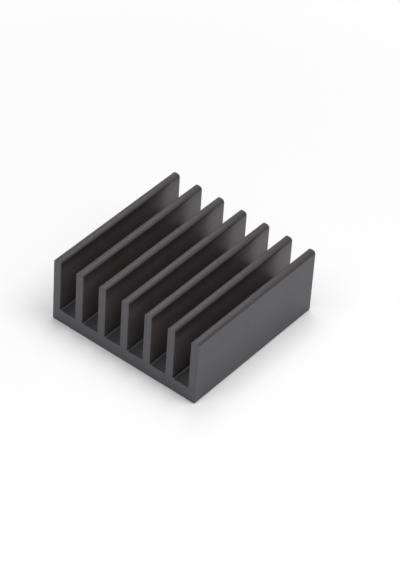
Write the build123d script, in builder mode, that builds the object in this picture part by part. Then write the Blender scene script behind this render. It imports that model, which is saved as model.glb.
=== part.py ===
from build123d import *
import os

# Driving dimensions of the heat sink, in millimetres
width = 14.0  # across the fins
length = 14.0  # along the fins, from one sawn end to the other
height = 6.0  # from the base's underside to the fin tips
base_thickness = 1.2  # plate left under the grooves
fin_count = 7
fin_thickness = 0.7
root_radius = 0.15  # where a fin's side runs into the groove floor
tip_radius = 0.28  # long edges along the top of a fin
foot_radius = 0.15  # long lower edges of the base
edge_break = 0.05  # what tumbling leaves on the sharp edges of the sawn ends

# Largest shares of a groove, a fin or the base that one rounding may take up
root_share = 0.48
tip_share = 0.45
foot_share = 0.48

# Sizes that follow from the driving ones: equal grooves between equal fins
groove_count = fin_count - 1
groove_width = (width - fin_count * fin_thickness) / groove_count
groove_depth = height - base_thickness
fin_pitch = fin_thickness + groove_width
root_round = min(root_radius, root_share * groove_width)
tip_round = min(tip_radius, tip_share * fin_thickness)
foot_round = min(foot_radius, foot_share * base_thickness)

# One extruded bar, cut to length. The origin is the middle of the base's
# underside, X runs across the fins, Y along them and Z up to their tips.
with BuildPart() as heat_sink:
    with BuildSketch(Plane.XZ) as section:
        Rectangle(width, height, align=(Align.CENTER, Align.MIN))
        with Locations((0, base_thickness)):
            with GridLocations(fin_pitch, 0, groove_count, 1):
                Rectangle(groove_width, groove_depth, align=(Align.CENTER, Align.MIN), mode=Mode.SUBTRACT)

        # Lower corners of the base
        feet = section.vertices().group_by(Axis.Y)[0]
        fillet(feet, foot_round)

        # Both lower corners of every groove
        roots = section.vertices().filter_by_position(Axis.Y, base_thickness, base_thickness)
        fillet(roots, root_round)

        # Both top corners of every fin
        tips = section.vertices().group_by(Axis.Y)[-1]
        fillet(tips, tip_round)
    extrude(amount=length / 2, both=True)

    # The sawn ends lose their burr all the way round the section
    sawn_ends = heat_sink.faces().filter_by(Axis.Y)
    chamfer(sawn_ends.edges(), edge_break)

heat_sink.part.label = "heat_sink"
os.makedirs("parts", exist_ok=True)
export_step(heat_sink.part, "parts/heat_sink.step")
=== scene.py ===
import math

import bmesh
import bpy
from bpy.props import FloatProperty, FloatVectorProperty, IntProperty, PointerProperty
from mathutils import Matrix, Vector


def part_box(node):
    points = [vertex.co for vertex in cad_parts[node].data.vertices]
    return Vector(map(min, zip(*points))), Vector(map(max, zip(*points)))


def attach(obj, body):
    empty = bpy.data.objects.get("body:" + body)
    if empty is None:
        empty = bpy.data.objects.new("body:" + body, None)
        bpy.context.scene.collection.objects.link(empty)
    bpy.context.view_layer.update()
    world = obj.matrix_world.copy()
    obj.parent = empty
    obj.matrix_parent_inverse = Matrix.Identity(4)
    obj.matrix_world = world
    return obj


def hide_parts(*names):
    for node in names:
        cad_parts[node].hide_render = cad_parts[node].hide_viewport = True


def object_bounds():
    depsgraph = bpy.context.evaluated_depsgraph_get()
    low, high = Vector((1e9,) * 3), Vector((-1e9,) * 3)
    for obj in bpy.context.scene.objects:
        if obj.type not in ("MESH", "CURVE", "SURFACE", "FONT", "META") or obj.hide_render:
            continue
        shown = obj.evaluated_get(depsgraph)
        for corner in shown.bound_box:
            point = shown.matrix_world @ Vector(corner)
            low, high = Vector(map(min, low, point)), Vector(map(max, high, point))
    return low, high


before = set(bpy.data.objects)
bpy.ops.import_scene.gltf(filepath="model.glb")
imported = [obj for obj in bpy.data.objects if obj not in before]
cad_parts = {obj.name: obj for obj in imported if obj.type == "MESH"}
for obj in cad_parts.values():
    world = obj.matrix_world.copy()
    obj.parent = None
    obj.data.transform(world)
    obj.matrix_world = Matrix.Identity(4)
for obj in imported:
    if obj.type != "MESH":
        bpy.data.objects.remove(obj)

bl_info = {
    "name": "Finned Heat Sink",
    "version": (1, 0, 0),
    "blender": (4, 5, 0),
    "location": "3D View > Sidebar > Heat Sink",
    "description": "Models a small black anodised heat sink and the studio it is shown in",
    "category": "Add Mesh",
}

IMAGE_WIDTH, IMAGE_HEIGHT = 400, 570
SENSOR = 36.0
MM = 0.001
MICRON = 0.000001

BAR_NODE = "heat_sink"
BODY = "root"
BAR_LOW, BAR_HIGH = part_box(BAR_NODE)
CAD_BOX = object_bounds()
OBJECT_MIDDLE = (CAD_BOX[0] + CAD_BOX[1]) / 2
PAPER_RADIUS = 1.5
CLIP_START, CLIP_END = 1 * MM, 5

ROUND_STEPS = 7  # strips across the rounding of a fin tip or a groove root
FOOT_STEPS = 6  # across a lower edge of the base
BREAK_STEPS = 3  # across a broken edge of a sawn end
FLAT_WITHIN = math.radians(1)
SMOOTH_WITHIN = math.radians(40)
SQUARE_ON = 0.999  # least Y of a sawn face's normal


class HeatSinkSizes(bpy.types.PropertyGroup):
    """Sizes of the extruded bar, in metres; its overall box comes from the frame"""

    width: FloatProperty(
        name="Width", description="Across the fins", default=BAR_HIGH.x - BAR_LOW.x, subtype="DISTANCE",
        unit="LENGTH")
    length: FloatProperty(
        name="Length", description="Along the fins, between the sawn ends",
        default=BAR_HIGH.y - BAR_LOW.y, subtype="DISTANCE", unit="LENGTH")
    height: FloatProperty(
        name="Height", description="Underside of the base to the fin tips",
        default=BAR_HIGH.z - BAR_LOW.z, subtype="DISTANCE", unit="LENGTH")
    base_thickness: FloatProperty(
        name="Base", description="Plate left under the grooves", default=1.2 * MM, subtype="DISTANCE",
        unit="LENGTH")
    fin_count: IntProperty(name="Fins", description="How many fins stand on the base", default=7, min=2)
    fin_thickness: FloatProperty(
        name="Fin thickness", description="Wall of one fin", default=0.7 * MM, subtype="DISTANCE",
        unit="LENGTH")
    root_radius: FloatProperty(
        name="Root radius", description="Where a fin's side runs into the groove floor", default=0.15 * MM,
        subtype="DISTANCE", unit="LENGTH")
    tip_radius: FloatProperty(
        name="Tip radius", description="Long edges along the top of a fin", default=0.28 * MM,
        subtype="DISTANCE", unit="LENGTH")
    foot_radius: FloatProperty(
        name="Foot radius", description="Long lower edges of the base", default=0.15 * MM,
        subtype="DISTANCE", unit="LENGTH")
    edge_break: FloatProperty(
        name="Edge break", description="Rounding that tumbling leaves on the sawn edges",
        default=0.05 * MM, subtype="DISTANCE", unit="LENGTH")


class AnodiseLook(bpy.types.PropertyGroup):
    """Colours and surface of the black anodised skin"""

    skin: FloatVectorProperty(
        name="Drawn skin", description="Dyed skin of the outer extruded faces",
        default=(0.0285, 0.0265, 0.035), size=3, min=0, max=1, subtype="COLOR")
    skin_pale: FloatVectorProperty(
        name="Pale skin", description="Where the dye took more thinly along the bar",
        default=(0.0345, 0.032, 0.0425), size=3, min=0, max=1, subtype="COLOR")
    tip: FloatVectorProperty(
        name="Fin tip", description="Slightly warmer skin along the fin tips",
        default=(0.0298, 0.0272, 0.029), size=3, min=0, max=1, subtype="COLOR")
    tip_pale: FloatVectorProperty(
        name="Pale tip", description="Where the dye took more thinly on the tips",
        default=(0.036, 0.033, 0.035), size=3, min=0, max=1, subtype="COLOR")
    # Groove and its pale twin are painted fill light: colours far lighter than the skin that lift the shade
    # deep between the fins
    groove: FloatVectorProperty(
        name="Groove skin", description="Thinner, browner film between the fins",
        default=(0.076, 0.066, 0.067), size=3, min=0, max=1, subtype="COLOR")
    groove_fill_pale: FloatVectorProperty(
        name="Pale groove", description="Paler clouds in the film between the fins",
        default=(0.086, 0.075, 0.076), size=3, min=0, max=1, subtype="COLOR")
    trough: FloatVectorProperty(
        name="Groove floor", description="Skin on the groove floors and their roots",
        default=(0.032, 0.0313, 0.0333), size=3, min=0, max=1, subtype="COLOR")
    trough_pale: FloatVectorProperty(
        name="Pale groove floor", description="Where the dye took more thinly on the groove floors",
        default=(0.0375, 0.0366, 0.039), size=3, min=0, max=1, subtype="COLOR")
    fin_shine: FloatVectorProperty(
        name="Fin shine", description="Tint of what the film on the fins reflects",
        default=(1.0, 0.92, 0.94), size=3, min=0, max=1, subtype="COLOR")
    # Depth below the tips over which the painted fill light in the grooves comes in fully
    painted_fill_depth: FloatProperty(
        name="Groove fade", description="How far below the tips the film has thinned", default=0.9 * MM,
        subtype="DISTANCE", unit="LENGTH")
    sawn: FloatVectorProperty(
        name="Sawn face", description="Dyed skin of the cut ends", default=(0.062, 0.060, 0.0675),
        size=3, min=0, max=1, subtype="COLOR")
    sawn_pale: FloatVectorProperty(
        name="Sawn ridge", description="Ridges between the saw's strokes",
        default=(0.075, 0.0725, 0.0815), size=3, min=0, max=1, subtype="COLOR")
    edge: FloatVectorProperty(
        name="Tumbled edge", description="Thin, rubbed skin on the broken edges",
        default=(0.076, 0.074, 0.081), size=3, min=0, max=1, subtype="COLOR")
    skin_roughness: FloatProperty(
        name="Skin roughness", description="Blur of reflections in the drawn faces", default=0.285, min=0,
        max=1, subtype="FACTOR")
    trough_roughness: FloatProperty(
        name="Groove floor roughness", description="Blur of reflections in the groove floors", default=0.42,
        min=0, max=1, subtype="FACTOR")
    sawn_roughness: FloatProperty(
        name="Sawn roughness", description="Blur of reflections in the cut ends", default=0.37, min=0,
        max=1, subtype="FACTOR")
    die_depth: FloatProperty(
        name="Die marks", description="Depth of the lines that the die drew", default=0.06 * MICRON,
        subtype="DISTANCE", unit="LENGTH")
    etch_depth: FloatProperty(
        name="Etched marks", description="Depth of the lines on the groove floors, where the etch stood",
        default=0.25 * MICRON, subtype="DISTANCE", unit="LENGTH")
    saw_depth: FloatProperty(
        name="Saw marks", description="Depth of the saw's strokes", default=7 * MICRON,
        subtype="DISTANCE", unit="LENGTH")
    rub_depth: FloatProperty(
        name="Rubbed marks", description="Depth of the dents that tumbling leaves", default=3 * MICRON,
        subtype="DISTANCE", unit="LENGTH")
    oxide_ior: FloatProperty(
        name="Oxide index", description="Refractive index of the sealed film", default=1.45, min=1, max=3)


class StudioLook(bpy.types.PropertyGroup):
    """Camera, lamps and floor"""

    azimuth: FloatProperty(
        name="Azimuth", description="Camera's turn from the front towards the right side",
        default=math.radians(36.6517), subtype="ANGLE", unit="ROTATION")
    elevation: FloatProperty(
        name="Elevation", description="Camera's height above the horizon", default=math.radians(41.9381),
        subtype="ANGLE", unit="ROTATION")
    roll: FloatProperty(
        name="Roll", description="Camera's turn about its own line of sight", default=math.radians(3.9374),
        subtype="ANGLE", unit="ROTATION")
    distance: FloatProperty(
        name="Distance", description="Camera to the middle of the object", default=214.03 * MM,
        subtype="DISTANCE", unit="LENGTH")
    focal_pixels: FloatProperty(
        name="Focal length", description="In pixels of the 400 by 570 image", default=2822.2)
    aim_right: FloatProperty(
        name="Aim right", description="How far the view's centre lies right of the object's middle",
        default=1.2345 * MM, subtype="DISTANCE", unit="LENGTH")
    aim_down: FloatProperty(
        name="Aim down", description="How far the view's centre lies below the object's middle",
        default=0.0344 * MM, subtype="DISTANCE", unit="LENGTH")
    floor: FloatVectorProperty(
        name="Floor", description="Colour of the paper under the object", default=(0.97, 0.97, 0.97),
        size=3, min=0, max=1, subtype="COLOR")
    # Rim glow, contact and full glow reach shape a painted glow on the paper that grows with distance from
    # the object's foot
    rim_glow: FloatProperty(
        name="Wash", description="How white camera and reflections see the paper at the contact shadow's rim",
        default=0.65, min=0, max=1, subtype="FACTOR")
    contact: FloatProperty(
        name="Contact shadow", description="How far from the object's foot the shadow is kept darkest",
        default=5 * MM, subtype="DISTANCE", unit="LENGTH")
    full_glow_reach: FloatProperty(
        name="White reach", description="How far from the object's foot the paper looks plain white",
        default=38 * MM, subtype="DISTANCE", unit="LENGTH")
    sky: FloatProperty(
        name="Room light", description="Brightness of the white room as a lamp, where 1 is white",
        default=0.15, min=0)
    front_fill: FloatProperty(
        name="Front fill", description="Brightness of the soft box above the front", default=3.25, min=0)
    right_fill: FloatProperty(
        name="Right fill", description="Brightness of the soft box on the right", default=2.15, min=0)
    back_right: FloatProperty(
        name="Back right", description="Brightness of the high soft box behind the right side",
        default=3.95, min=0)
    back_left: FloatProperty(
        name="Back left", description="Brightness of the high soft box behind the left side",
        default=3.55, min=0)
    back_fill: FloatProperty(
        name="Back fill", description="Brightness of the high soft box straight behind", default=1.4,
        min=0)
    tip_glint: FloatProperty(
        name="Tip glint", description="Brightness of the small box that shines along the fin tips",
        default=5.9, min=0)


def clear_selection():
    """Leaves object mode with nothing selected."""
    if bpy.context.object and bpy.context.object.mode != "OBJECT":
        bpy.ops.object.mode_set(mode="OBJECT")
    bpy.ops.object.select_all(action="DESELECT")


def edit(piece):
    """Enters edit mode on one piece with none of its mesh selected."""
    clear_selection()
    piece.select_set(True)
    bpy.context.view_layer.objects.active = piece
    bpy.ops.object.mode_set(mode="EDIT")
    bpy.ops.mesh.select_mode(type="FACE")
    bpy.ops.mesh.select_all(action="DESELECT")


def pick_faces(piece, wanted):
    """Selects the faces that wanted(face) accepts."""
    bpy.ops.mesh.select_mode(type="FACE")
    bpy.ops.mesh.select_all(action="DESELECT")
    mesh = bmesh.from_edit_mesh(piece.data)
    for face in mesh.faces:
        face.select_set(wanted(face))
    bmesh.update_edit_mesh(piece.data)


def pick_edges(piece, wanted):
    """Selects the edges that wanted(edge) accepts, and says how many there are."""
    bpy.ops.mesh.select_mode(type="EDGE")
    bpy.ops.mesh.select_all(action="DESELECT")
    mesh = bmesh.from_edit_mesh(piece.data)
    found = [edge for edge in mesh.edges if wanted(edge)]
    for edge in found:
        edge.select_set(True)
    bmesh.update_edit_mesh(piece.data)
    return len(found)


def middle(edge):
    """The point halfway along an edge."""
    return (edge.verts[0].co + edge.verts[1].co) / 2


def near(a, b):
    """Whether two lengths agree within a micron."""
    return abs(a - b) < MICRON


def fin_walls(sizes):
    """The X of each fin's left and right wall, in order."""
    pitch = (sizes.width - sizes.fin_thickness) / (sizes.fin_count - 1)
    lefts = [BAR_LOW.x + pitch * i for i in range(sizes.fin_count)]
    return [(x, x + sizes.fin_thickness) for x in lefts]


def round_edges(piece, wanted, radius, steps):
    """Rounds the edges that wanted(edge) accepts."""
    if not pick_edges(piece, wanted):
        raise RuntimeError("no edge was found to round")
    bpy.ops.mesh.bevel(
        offset_type="OFFSET", offset=radius, segments=steps, profile=0.5, affect="EDGES",
        clamp_overlap=False)


def model_bar(sizes):
    """A plate whose top is raised into fins, with every long edge and both ends rounded."""
    foot = BAR_LOW.z
    top = foot + sizes.height
    floor = foot + sizes.base_thickness
    centre = (BAR_LOW + BAR_HIGH) / 2
    clear_selection()
    bpy.ops.mesh.primitive_cube_add(
        size=1, location=(centre.x, centre.y, (foot + floor) / 2),
        scale=(sizes.width, sizes.length, sizes.base_thickness))
    bar = bpy.context.object
    bar.name = bar.data.name = "finned_bar"
    bpy.ops.object.transform_apply(location=True, rotation=True, scale=True)

    # A cut at every wall but the two that are the bar's own sides
    walls = fin_walls(sizes)
    edit(bar)
    for x in [x for pair in walls for x in pair][1:-1]:
        bpy.ops.mesh.select_all(action="SELECT")
        bpy.ops.mesh.bisect(plane_co=(x, 0, 0), plane_no=(1, 0, 0))

    def under_a_fin(face):
        spot = face.calc_center_median()
        return near(spot.z, floor) and any(left < spot.x < right for left, right in walls)

    pick_faces(bar, under_a_fin)
    bpy.ops.mesh.extrude_region_move(TRANSFORM_OT_translate={"value": (0, 0, top - floor)})
    bpy.ops.mesh.select_all(action="SELECT")
    bpy.ops.mesh.dissolve_limited(angle_limit=FLAT_WITHIN)

    def lengthwise(edge):
        return near(edge.verts[0].co.x, edge.verts[1].co.x) and near(edge.verts[0].co.z, edge.verts[1].co.z)

    def outermost(edge):
        return near(abs(middle(edge).x - centre.x), sizes.width / 2)

    def at_root(edge):
        return lengthwise(edge) and near(middle(edge).z, floor) and not outermost(edge)

    def at_tip(edge):
        return lengthwise(edge) and near(middle(edge).z, top)

    def at_foot(edge):
        return lengthwise(edge) and near(middle(edge).z, foot) and outermost(edge)

    round_edges(bar, at_root, sizes.root_radius, ROUND_STEPS)
    round_edges(bar, at_tip, sizes.tip_radius, ROUND_STEPS)
    round_edges(bar, at_foot, sizes.foot_radius, FOOT_STEPS)

    def at_an_end(edge):
        return near(abs(middle(edge).y - centre.y), sizes.length / 2)

    round_edges(bar, at_an_end, sizes.edge_break, BREAK_STEPS)
    bpy.ops.mesh.select_all(action="SELECT")
    bpy.ops.mesh.remove_doubles(threshold=MICRON / 10)
    bpy.ops.mesh.normals_make_consistent(inside=False)
    bpy.ops.object.mode_set(mode="OBJECT")
    return bar


def smooth_bar(bar):
    """Shades the roundings smooth, with the broad flats kept flat."""
    bpy.ops.object.shade_smooth_by_angle(angle=SMOOTH_WITHIN)
    weighted = bar.modifiers.new("flats_stay_flat", "WEIGHTED_NORMAL")
    weighted.mode = "FACE_AREA"
    weighted.weight = 100
    weighted.keep_sharp = True
    bpy.ops.object.modifier_apply(modifier=weighted.name)


class Shading:
    """A material's node tree, built a node at a time."""

    def __init__(self, name):
        self.material = bpy.data.materials.new(name)
        self.material.use_nodes = True
        self.tree = self.material.node_tree
        self.tree.nodes.clear()

    def add(self, kind, inputs=None, **settings):
        """A node of that kind; an input that is a socket is linked, and any other is a value."""
        made = self.tree.nodes.new(kind)
        for name, value in settings.items():
            setattr(made, name, value)
        for name, value in (inputs or {}).items():
            if isinstance(value, bpy.types.NodeSocket):
                self.tree.links.new(value, made.inputs[name])
            else:
                made.inputs[name].default_value = value
        return made

    def place(self):
        """Where a point lies on the piece, in metres."""
        return self.add("ShaderNodeTexCoord").outputs["Object"]

    def stretched(self, size):
        """Object coordinates divided by a pattern's size along each axis, in metres."""
        scale = tuple(1 / s for s in size)
        return self.add("ShaderNodeMapping", {"Vector": self.place(), "Scale": scale}).outputs["Vector"]

    def noise(self, size, detail=3.0, roughness=0.5):
        """Noise whose blobs have that size along each axis."""
        inputs = {"Vector": self.stretched(size), "Scale": 1.0, "Detail": detail, "Roughness": roughness}
        return self.add("ShaderNodeTexNoise", inputs).outputs["Fac"]

    def spread(self, value, start, end, to_low=0.0, to_high=1.0):
        """Maps the range from start to end onto the range from to_low to to_high."""
        inputs = {"Value": value, "From Min": start, "From Max": end, "To Min": to_low, "To Max": to_high}
        return self.add("ShaderNodeMapRange", inputs).outputs["Result"]

    def mix(self, share, first, second):
        """A colour between two, by share."""
        made = self.add("ShaderNodeMix", data_type="RGBA")
        self.tree.links.new(share, made.inputs["Factor"])
        for name, value in (("A", first), ("B", second)):
            socket = [s for s in made.inputs if s.name == name and s.type == "RGBA"][0]
            if isinstance(value, bpy.types.NodeSocket):
                self.tree.links.new(value, socket)
            else:
                socket.default_value = (*value, 1)
        return [s for s in made.outputs if s.type == "RGBA"][0]

    def weigh(self, parts):
        """The sum of several values, each times its weight."""
        total = None
        for value, weight in parts:
            scaled = self.add("ShaderNodeMath", operation="MULTIPLY")
            self.tree.links.new(value, scaled.inputs[0])
            scaled.inputs[1].default_value = weight
            if total is None:
                total = scaled.outputs[0]
            else:
                added = self.add("ShaderNodeMath", operation="ADD")
                self.tree.links.new(total, added.inputs[0])
                self.tree.links.new(scaled.outputs[0], added.inputs[1])
                total = added.outputs[0]
        return total

    def vector(self, operation, first, second=(0, 0, 0)):
        """One step of vector arithmetic; the length of a vector is a value."""
        made = self.add("ShaderNodeVectorMath", {0: first, 1: second}, operation=operation)
        return made.outputs["Value" if operation == "LENGTH" else "Vector"]

    def bump(self, height, depth):
        """Normals of a relief whose full height is depth, in metres."""
        return self.add("ShaderNodeBump", {"Height": height, "Strength": 1.0, "Distance": depth}).outputs[0]

    def anodised(self, colour, roughness, normal, ior, shine=(1, 1, 1)):
        """The finished skin: its colour under a clear film, whose reflections shine tints."""
        inputs = {"Base Color": colour, "Roughness": roughness, "Normal": normal, "IOR": ior,
                  "Specular Tint": (*shine, 1)}
        skin = self.add("ShaderNodeBsdfPrincipled", inputs)
        self.add("ShaderNodeOutputMaterial", {"Surface": skin.outputs["BSDF"]})
        return self.material


def die_marks(made):
    """What the dye and the die left along the bar: the share of paler skin, and a fine relief."""
    streak = made.noise((0.30 * MM, 18 * MM, 0.30 * MM), detail=2)
    line = made.noise((0.045 * MM, 9 * MM, 0.045 * MM), detail=3)
    grain = made.noise((0.03 * MM, 0.03 * MM, 0.03 * MM), detail=2)
    cloud = made.noise((1.6 * MM, 2.4 * MM, 1.6 * MM), detail=2)
    pale = made.spread(made.weigh([(streak, 0.06), (cloud, 0.94)]), 0.36, 0.64)
    relief = made.weigh([(line, 0.5), (streak, 0.2), (grain, 0.3)])
    return pale, relief


def drawn_skin(look):
    """Outer faces that the die formed."""
    made = Shading("drawn_skin")
    pale, relief = die_marks(made)
    colour = made.mix(pale, tuple(look.skin), tuple(look.skin_pale))
    return made.anodised(colour, look.skin_roughness, made.bump(relief, look.die_depth), look.oxide_ior)


def fin_skin_with_painted_fill(look, sizes):
    """Fin tips and groove walls, whose colour grows lighter with depth below the tips, a painted fill light
    that lifts the shade in the grooves, and browner in tone.
    """
    made = Shading("fin_skin_with_painted_fill")
    pale, relief = die_marks(made)
    shallow = made.mix(pale, tuple(look.tip), tuple(look.tip_pale))
    deep_painted_fill = made.mix(pale, tuple(look.groove), tuple(look.groove_fill_pale))
    height = made.add("ShaderNodeSeparateXYZ", {"Vector": made.place()}).outputs["Z"]
    start = BAR_LOW.z + sizes.height - sizes.tip_radius
    # Painted fill light: the walls turn from the tip colour to the lighter groove colour with depth
    colour = made.mix(made.spread(height, start, start - look.painted_fill_depth), shallow, deep_painted_fill)
    normal = made.bump(relief, look.die_depth)
    return made.anodised(colour, look.skin_roughness, normal, look.oxide_ior, tuple(look.fin_shine))


def trough_skin(look):
    """Groove floors and their roots, where the etch stood longest and left a duller skin."""
    made = Shading("trough_skin")
    pale, relief = die_marks(made)
    colour = made.mix(pale, tuple(look.trough), tuple(look.trough_pale))
    normal = made.bump(relief, look.etch_depth)
    return made.anodised(colour, look.trough_roughness, normal, look.oxide_ior)


def sawn_skin(look):
    """The two cut ends: shallow arcs of a large saw blade, under the same dye."""
    made = Shading("sawn_skin")
    blade_centre = (18 * MM, 0, -42 * MM)
    stroke_width = 0.09 * MM
    offset = made.vector("SUBTRACT", made.place(), blade_centre)
    reach = made.vector("LENGTH", made.vector("MULTIPLY", offset, (1, 0, 1)))
    wander = made.noise((2.5 * MM, 2.5 * MM, 2.5 * MM), detail=1)
    strokes = made.weigh([(reach, 1 / stroke_width), (wander, 1.5)])
    stroke = made.add(
        "ShaderNodeTexNoise", {"W": strokes, "Scale": 1.0, "Detail": 3.0, "Roughness": 0.6},
        noise_dimensions="1D").outputs["Fac"]
    grain = made.noise((0.04 * MM, 0.04 * MM, 0.04 * MM), detail=2)
    cloud = made.noise((1.4 * MM, 1.4 * MM, 1.4 * MM), detail=2)
    tone = made.weigh([(stroke, 0.5), (cloud, 0.3), (grain, 0.2)])
    colour = made.mix(made.spread(tone, 0.35, 0.65), tuple(look.sawn), tuple(look.sawn_pale))
    rough = made.spread(tone, 0.3, 0.7, look.sawn_roughness - 0.04, look.sawn_roughness + 0.06)
    relief = made.weigh([(stroke, 0.7), (grain, 0.3)])
    return made.anodised(colour, rough, made.bump(relief, look.saw_depth), look.oxide_ior)


def tumbled_edge(look):
    """The broken edges of the ends, where the film is thin and rubbed in places."""
    made = Shading("tumbled_edge")
    rub = made.noise((0.25 * MM, 0.25 * MM, 0.25 * MM), detail=4, roughness=0.6)
    share = made.spread(rub, 0.42, 0.62)
    colour = made.mix(share, tuple(look.sawn), tuple(look.edge))
    rough = made.spread(rub, 0.3, 0.7, look.sawn_roughness, look.sawn_roughness + 0.1)
    return made.anodised(colour, rough, made.bump(rub, look.rub_depth), look.oxide_ior)


def finish_bar(bar, look, sizes):
    """Gives each face the finish of how it was made."""
    bar.data.materials.clear()
    skins = (drawn_skin(look), fin_skin_with_painted_fill(look, sizes), trough_skin(look), sawn_skin(look), tumbled_edge(look))
    for made in skins:
        bar.data.materials.append(made)
    drawn, fin, trough, sawn, edge = range(5)
    end = sizes.length / 2
    side = sizes.width / 2 - MICRON
    floor = BAR_LOW.z + sizes.base_thickness
    root = floor + sizes.root_radius
    for face in bar.data.polygons:
        if abs(face.normal.y) > SQUARE_ON:
            face.material_index = sawn
        elif end - abs(face.center.y) < sizes.edge_break:
            face.material_index = edge
        elif abs(face.center.x) < side and face.center.z > root:
            face.material_index = fin
        elif abs(face.center.x) < side and face.center.z > floor - MICRON:
            face.material_index = trough
        else:
            face.material_index = drawn


def direction(azimuth, elevation):
    """The way from the object to a spot, turned from the front towards the right side, then raised."""
    level = math.cos(elevation)
    return Vector((math.sin(azimuth) * level, -math.cos(azimuth) * level, math.sin(elevation)))


def camera_axes(studio):
    """The camera's right, up and backward directions."""
    back = direction(studio.azimuth, studio.elevation)
    right = Vector((math.cos(studio.azimuth), math.sin(studio.azimuth), 0))
    up = back.cross(right)
    spun_right = right * math.cos(studio.roll) + up * math.sin(studio.roll)
    spun_up = up * math.cos(studio.roll) - right * math.sin(studio.roll)
    return spun_right, spun_up, back


def place_camera(studio):
    """The camera at the photograph's viewing angle."""
    right, up, back = camera_axes(studio)
    aim = OBJECT_MIDDLE + right * studio.aim_right - up * studio.aim_down
    data = bpy.data.cameras.new("camera")
    data.sensor_width = SENSOR
    data.lens = studio.focal_pixels / max(IMAGE_WIDTH, IMAGE_HEIGHT) * SENSOR
    data.clip_start = CLIP_START
    data.clip_end = CLIP_END
    camera = bpy.data.objects.new("camera", data)
    bpy.context.scene.collection.objects.link(camera)
    turned = Matrix((right, up, back)).transposed().to_4x4()
    camera.matrix_world = Matrix.Translation(aim + back * studio.distance) @ turned
    bpy.context.scene.camera = camera


def bright_share(tree, lit, seen):
    """The strength seen for camera, glossy and transmission rays, and the strength lit for all others."""
    path = tree.nodes.new("ShaderNodeLightPath")
    looking = path.outputs["Is Camera Ray"]
    for ray in ("Is Glossy Ray", "Is Transmission Ray"):
        either = tree.nodes.new("ShaderNodeMath")
        either.operation = "MAXIMUM"
        tree.links.new(looking, either.inputs[0])
        tree.links.new(path.outputs[ray], either.inputs[1])
        looking = either.outputs[0]
    share = tree.nodes.new("ShaderNodeMapRange")
    tree.links.new(looking, share.inputs["Value"])
    share.inputs["To Min"].default_value = lit
    share.inputs["To Max"].default_value = seen
    return share.outputs["Result"]


def light_room(studio):
    """White surroundings: plain white to the camera and in reflections, and a soft lamp to the rest."""
    world = bpy.data.worlds.new("white_room")
    world.use_nodes = True
    tree = world.node_tree
    tree.nodes.clear()
    shine = tree.nodes.new("ShaderNodeBackground")
    shine.inputs["Color"].default_value = (1, 1, 1, 1)
    tree.links.new(bright_share(tree, studio.sky, 1.0), shine.inputs["Strength"])
    out = tree.nodes.new("ShaderNodeOutputWorld")
    tree.links.new(shine.outputs["Background"], out.inputs["Surface"])
    bpy.context.scene.world = world


def add_soft_box(name, azimuth, elevation, distance, width, brightness):
    """A square lamp that faces the object and isn't seen by the camera itself; angles are in degrees."""
    data = bpy.data.lights.new(name, "AREA")
    data.shape = "SQUARE"
    data.size = width
    data.energy = brightness * math.pi * width ** 2
    lamp = bpy.data.objects.new(name, data)
    bpy.context.scene.collection.objects.link(lamp)
    way = direction(math.radians(azimuth), math.radians(elevation))
    lamp.location = OBJECT_MIDDLE + way * distance
    lamp.rotation_euler = (-way).to_track_quat("-Z", "Y").to_euler()
    lamp.visible_camera = False


def hang_soft_boxes(studio):
    """High soft boxes all round, brightest behind, and a small one that draws the light along the tips."""
    close_by, near_by, far_off = 75 * MM, 80 * MM, 100 * MM
    broad, small = 45 * MM, 8 * MM
    add_soft_box(
        "front_fill", azimuth=0, elevation=55, distance=near_by, width=broad, brightness=studio.front_fill)
    add_soft_box(
        "right_fill", azimuth=95, elevation=50, distance=near_by, width=broad, brightness=studio.right_fill)
    add_soft_box(
        "back_right", azimuth=120, elevation=66, distance=far_off, width=broad, brightness=studio.back_right)
    add_soft_box(
        "back_left", azimuth=225, elevation=72, distance=far_off, width=broad, brightness=studio.back_left)
    add_soft_box(
        "back_fill", azimuth=185, elevation=68, distance=far_off, width=broad, brightness=studio.back_fill)
    add_soft_box(
        "tip_glint", azimuth=218, elevation=46, distance=close_by, width=small, brightness=studio.tip_glint)


def paper(studio):
    """White paper, a little uneven, with a painted white glow that camera and reflections see: none at the
    object's foot, where its real shadow shows, growing to plain white away from the object.
    """
    made = Shading("paper_with_painted_glow")
    fibre = made.noise((4 * MM, 4 * MM, 4 * MM), detail=3)
    pale = tuple(studio.floor)
    dull = tuple(c * 0.99 for c in pale)
    shade = made.mix(made.spread(fibre, 0.3, 0.7), pale, dull)
    matt = made.add("ShaderNodeBsdfDiffuse", {"Color": shade})
    # Painted glow: an emission that whitens the paper for camera, glossy and transmission rays
    white = made.add("ShaderNodeEmission", {"Strength": 1.0})

    # The painted glow grows with distance from the object's foot: none at the foot, the rim share at the
    # contact reach, plain white at the full glow reach
    half = tuple((CAD_BOX[1] - CAD_BOX[0]) / 2)
    from_middle = made.vector("ABSOLUTE", made.vector("SUBTRACT", made.place(), tuple(OBJECT_MIDDLE)))
    past_the_foot = made.vector("MAXIMUM", made.vector("SUBTRACT", from_middle, half))
    reach = made.vector("LENGTH", past_the_foot)
    close = made.spread(reach, 0, studio.contact, 0.0, studio.rim_glow)
    far = made.spread(reach, studio.contact, studio.full_glow_reach, 0.0, 1 - studio.rim_glow)
    glow_share = made.weigh([(close, 1.0), (far, 1.0)])
    share = made.add(
        "ShaderNodeMath", {0: glow_share, 1: bright_share(made.tree, 0.0, 1.0)}, operation="MULTIPLY")
    seen = made.add("ShaderNodeMixShader", {0: share.outputs[0], 1: matt.outputs[0], 2: white.outputs[0]})
    made.add("ShaderNodeOutputMaterial", {"Surface": seen.outputs[0]})
    return made.material


def lay_floor(studio):
    """A wide sheet of paper under the object."""
    clear_selection()
    bpy.ops.mesh.primitive_circle_add(
        vertices=96, radius=PAPER_RADIUS, fill_type="NGON", location=(0, 0, CAD_BOX[0].z))
    floor = bpy.context.object
    floor.name = floor.data.name = "paper_floor"
    bpy.ops.object.transform_apply(location=True, rotation=True, scale=True)
    floor.data.materials.append(paper(studio))


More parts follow.
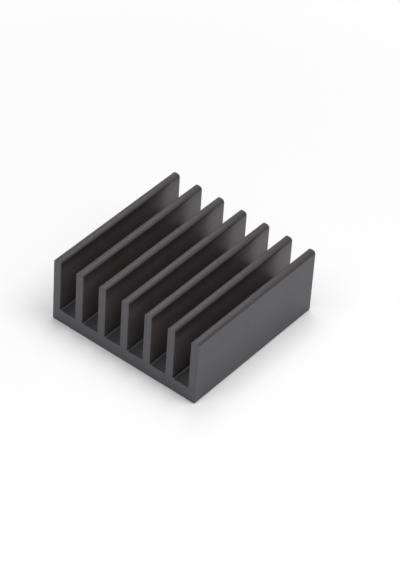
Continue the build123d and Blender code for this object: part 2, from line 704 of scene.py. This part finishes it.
class MESH_OT_heat_sink_bar(bpy.types.Operator):
    """Model the finned bar and give it its anodised finish"""

    bl_idname = "mesh.heat_sink_bar"
    bl_label = "Finned Bar"

    def execute(self, context):
        sizes = context.scene.heat_sink_sizes
        bar = model_bar(sizes)
        smooth_bar(bar)
        finish_bar(bar, context.scene.heat_sink_anodise, sizes)
        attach(bar, BODY)
        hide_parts(BAR_NODE)
        return {"FINISHED"}


class SCENE_OT_heat_sink_studio(bpy.types.Operator):
    """Set up the camera, the soft lamps and the paper floor"""

    bl_idname = "scene.heat_sink_studio"
    bl_label = "Studio"

    def execute(self, context):
        studio = context.scene.heat_sink_studio
        context.scene.view_settings.view_transform = "Standard"
        place_camera(studio)
        light_room(studio)
        lay_floor(studio)
        hang_soft_boxes(studio)
        return {"FINISHED"}


class VIEW3D_PT_heat_sink(bpy.types.Panel):
    """Lists the sizes and looks, and the steps that make the heat sink and its studio"""

    bl_idname = "VIEW3D_PT_heat_sink"
    bl_label = "Heat Sink"
    bl_space_type = "VIEW_3D"
    bl_region_type = "UI"
    bl_category = "Heat Sink"

    def draw(self, context):
        scene = context.scene
        for group in (scene.heat_sink_sizes, scene.heat_sink_anodise, scene.heat_sink_studio):
            box = self.layout.box()
            for name in group.__annotations__:
                box.prop(group, name)
        self.layout.operator(MESH_OT_heat_sink_bar.bl_idname)
        self.layout.operator(SCENE_OT_heat_sink_studio.bl_idname)


CLASSES = (
    HeatSinkSizes,
    AnodiseLook,
    StudioLook,
    MESH_OT_heat_sink_bar,
    SCENE_OT_heat_sink_studio,
    VIEW3D_PT_heat_sink,
)


def register():
    for each in CLASSES:
        bpy.utils.register_class(each)
    bpy.types.Scene.heat_sink_sizes = PointerProperty(type=HeatSinkSizes)
    bpy.types.Scene.heat_sink_anodise = PointerProperty(type=AnodiseLook)
    bpy.types.Scene.heat_sink_studio = PointerProperty(type=StudioLook)


def unregister():
    del bpy.types.Scene.heat_sink_studio
    del bpy.types.Scene.heat_sink_anodise
    del bpy.types.Scene.heat_sink_sizes
    for each in reversed(CLASSES):
        bpy.utils.unregister_class(each)


def main():
    register()
    bpy.ops.mesh.heat_sink_bar()
    bpy.ops.scene.heat_sink_studio()


if __name__ == "__main__":
    main()
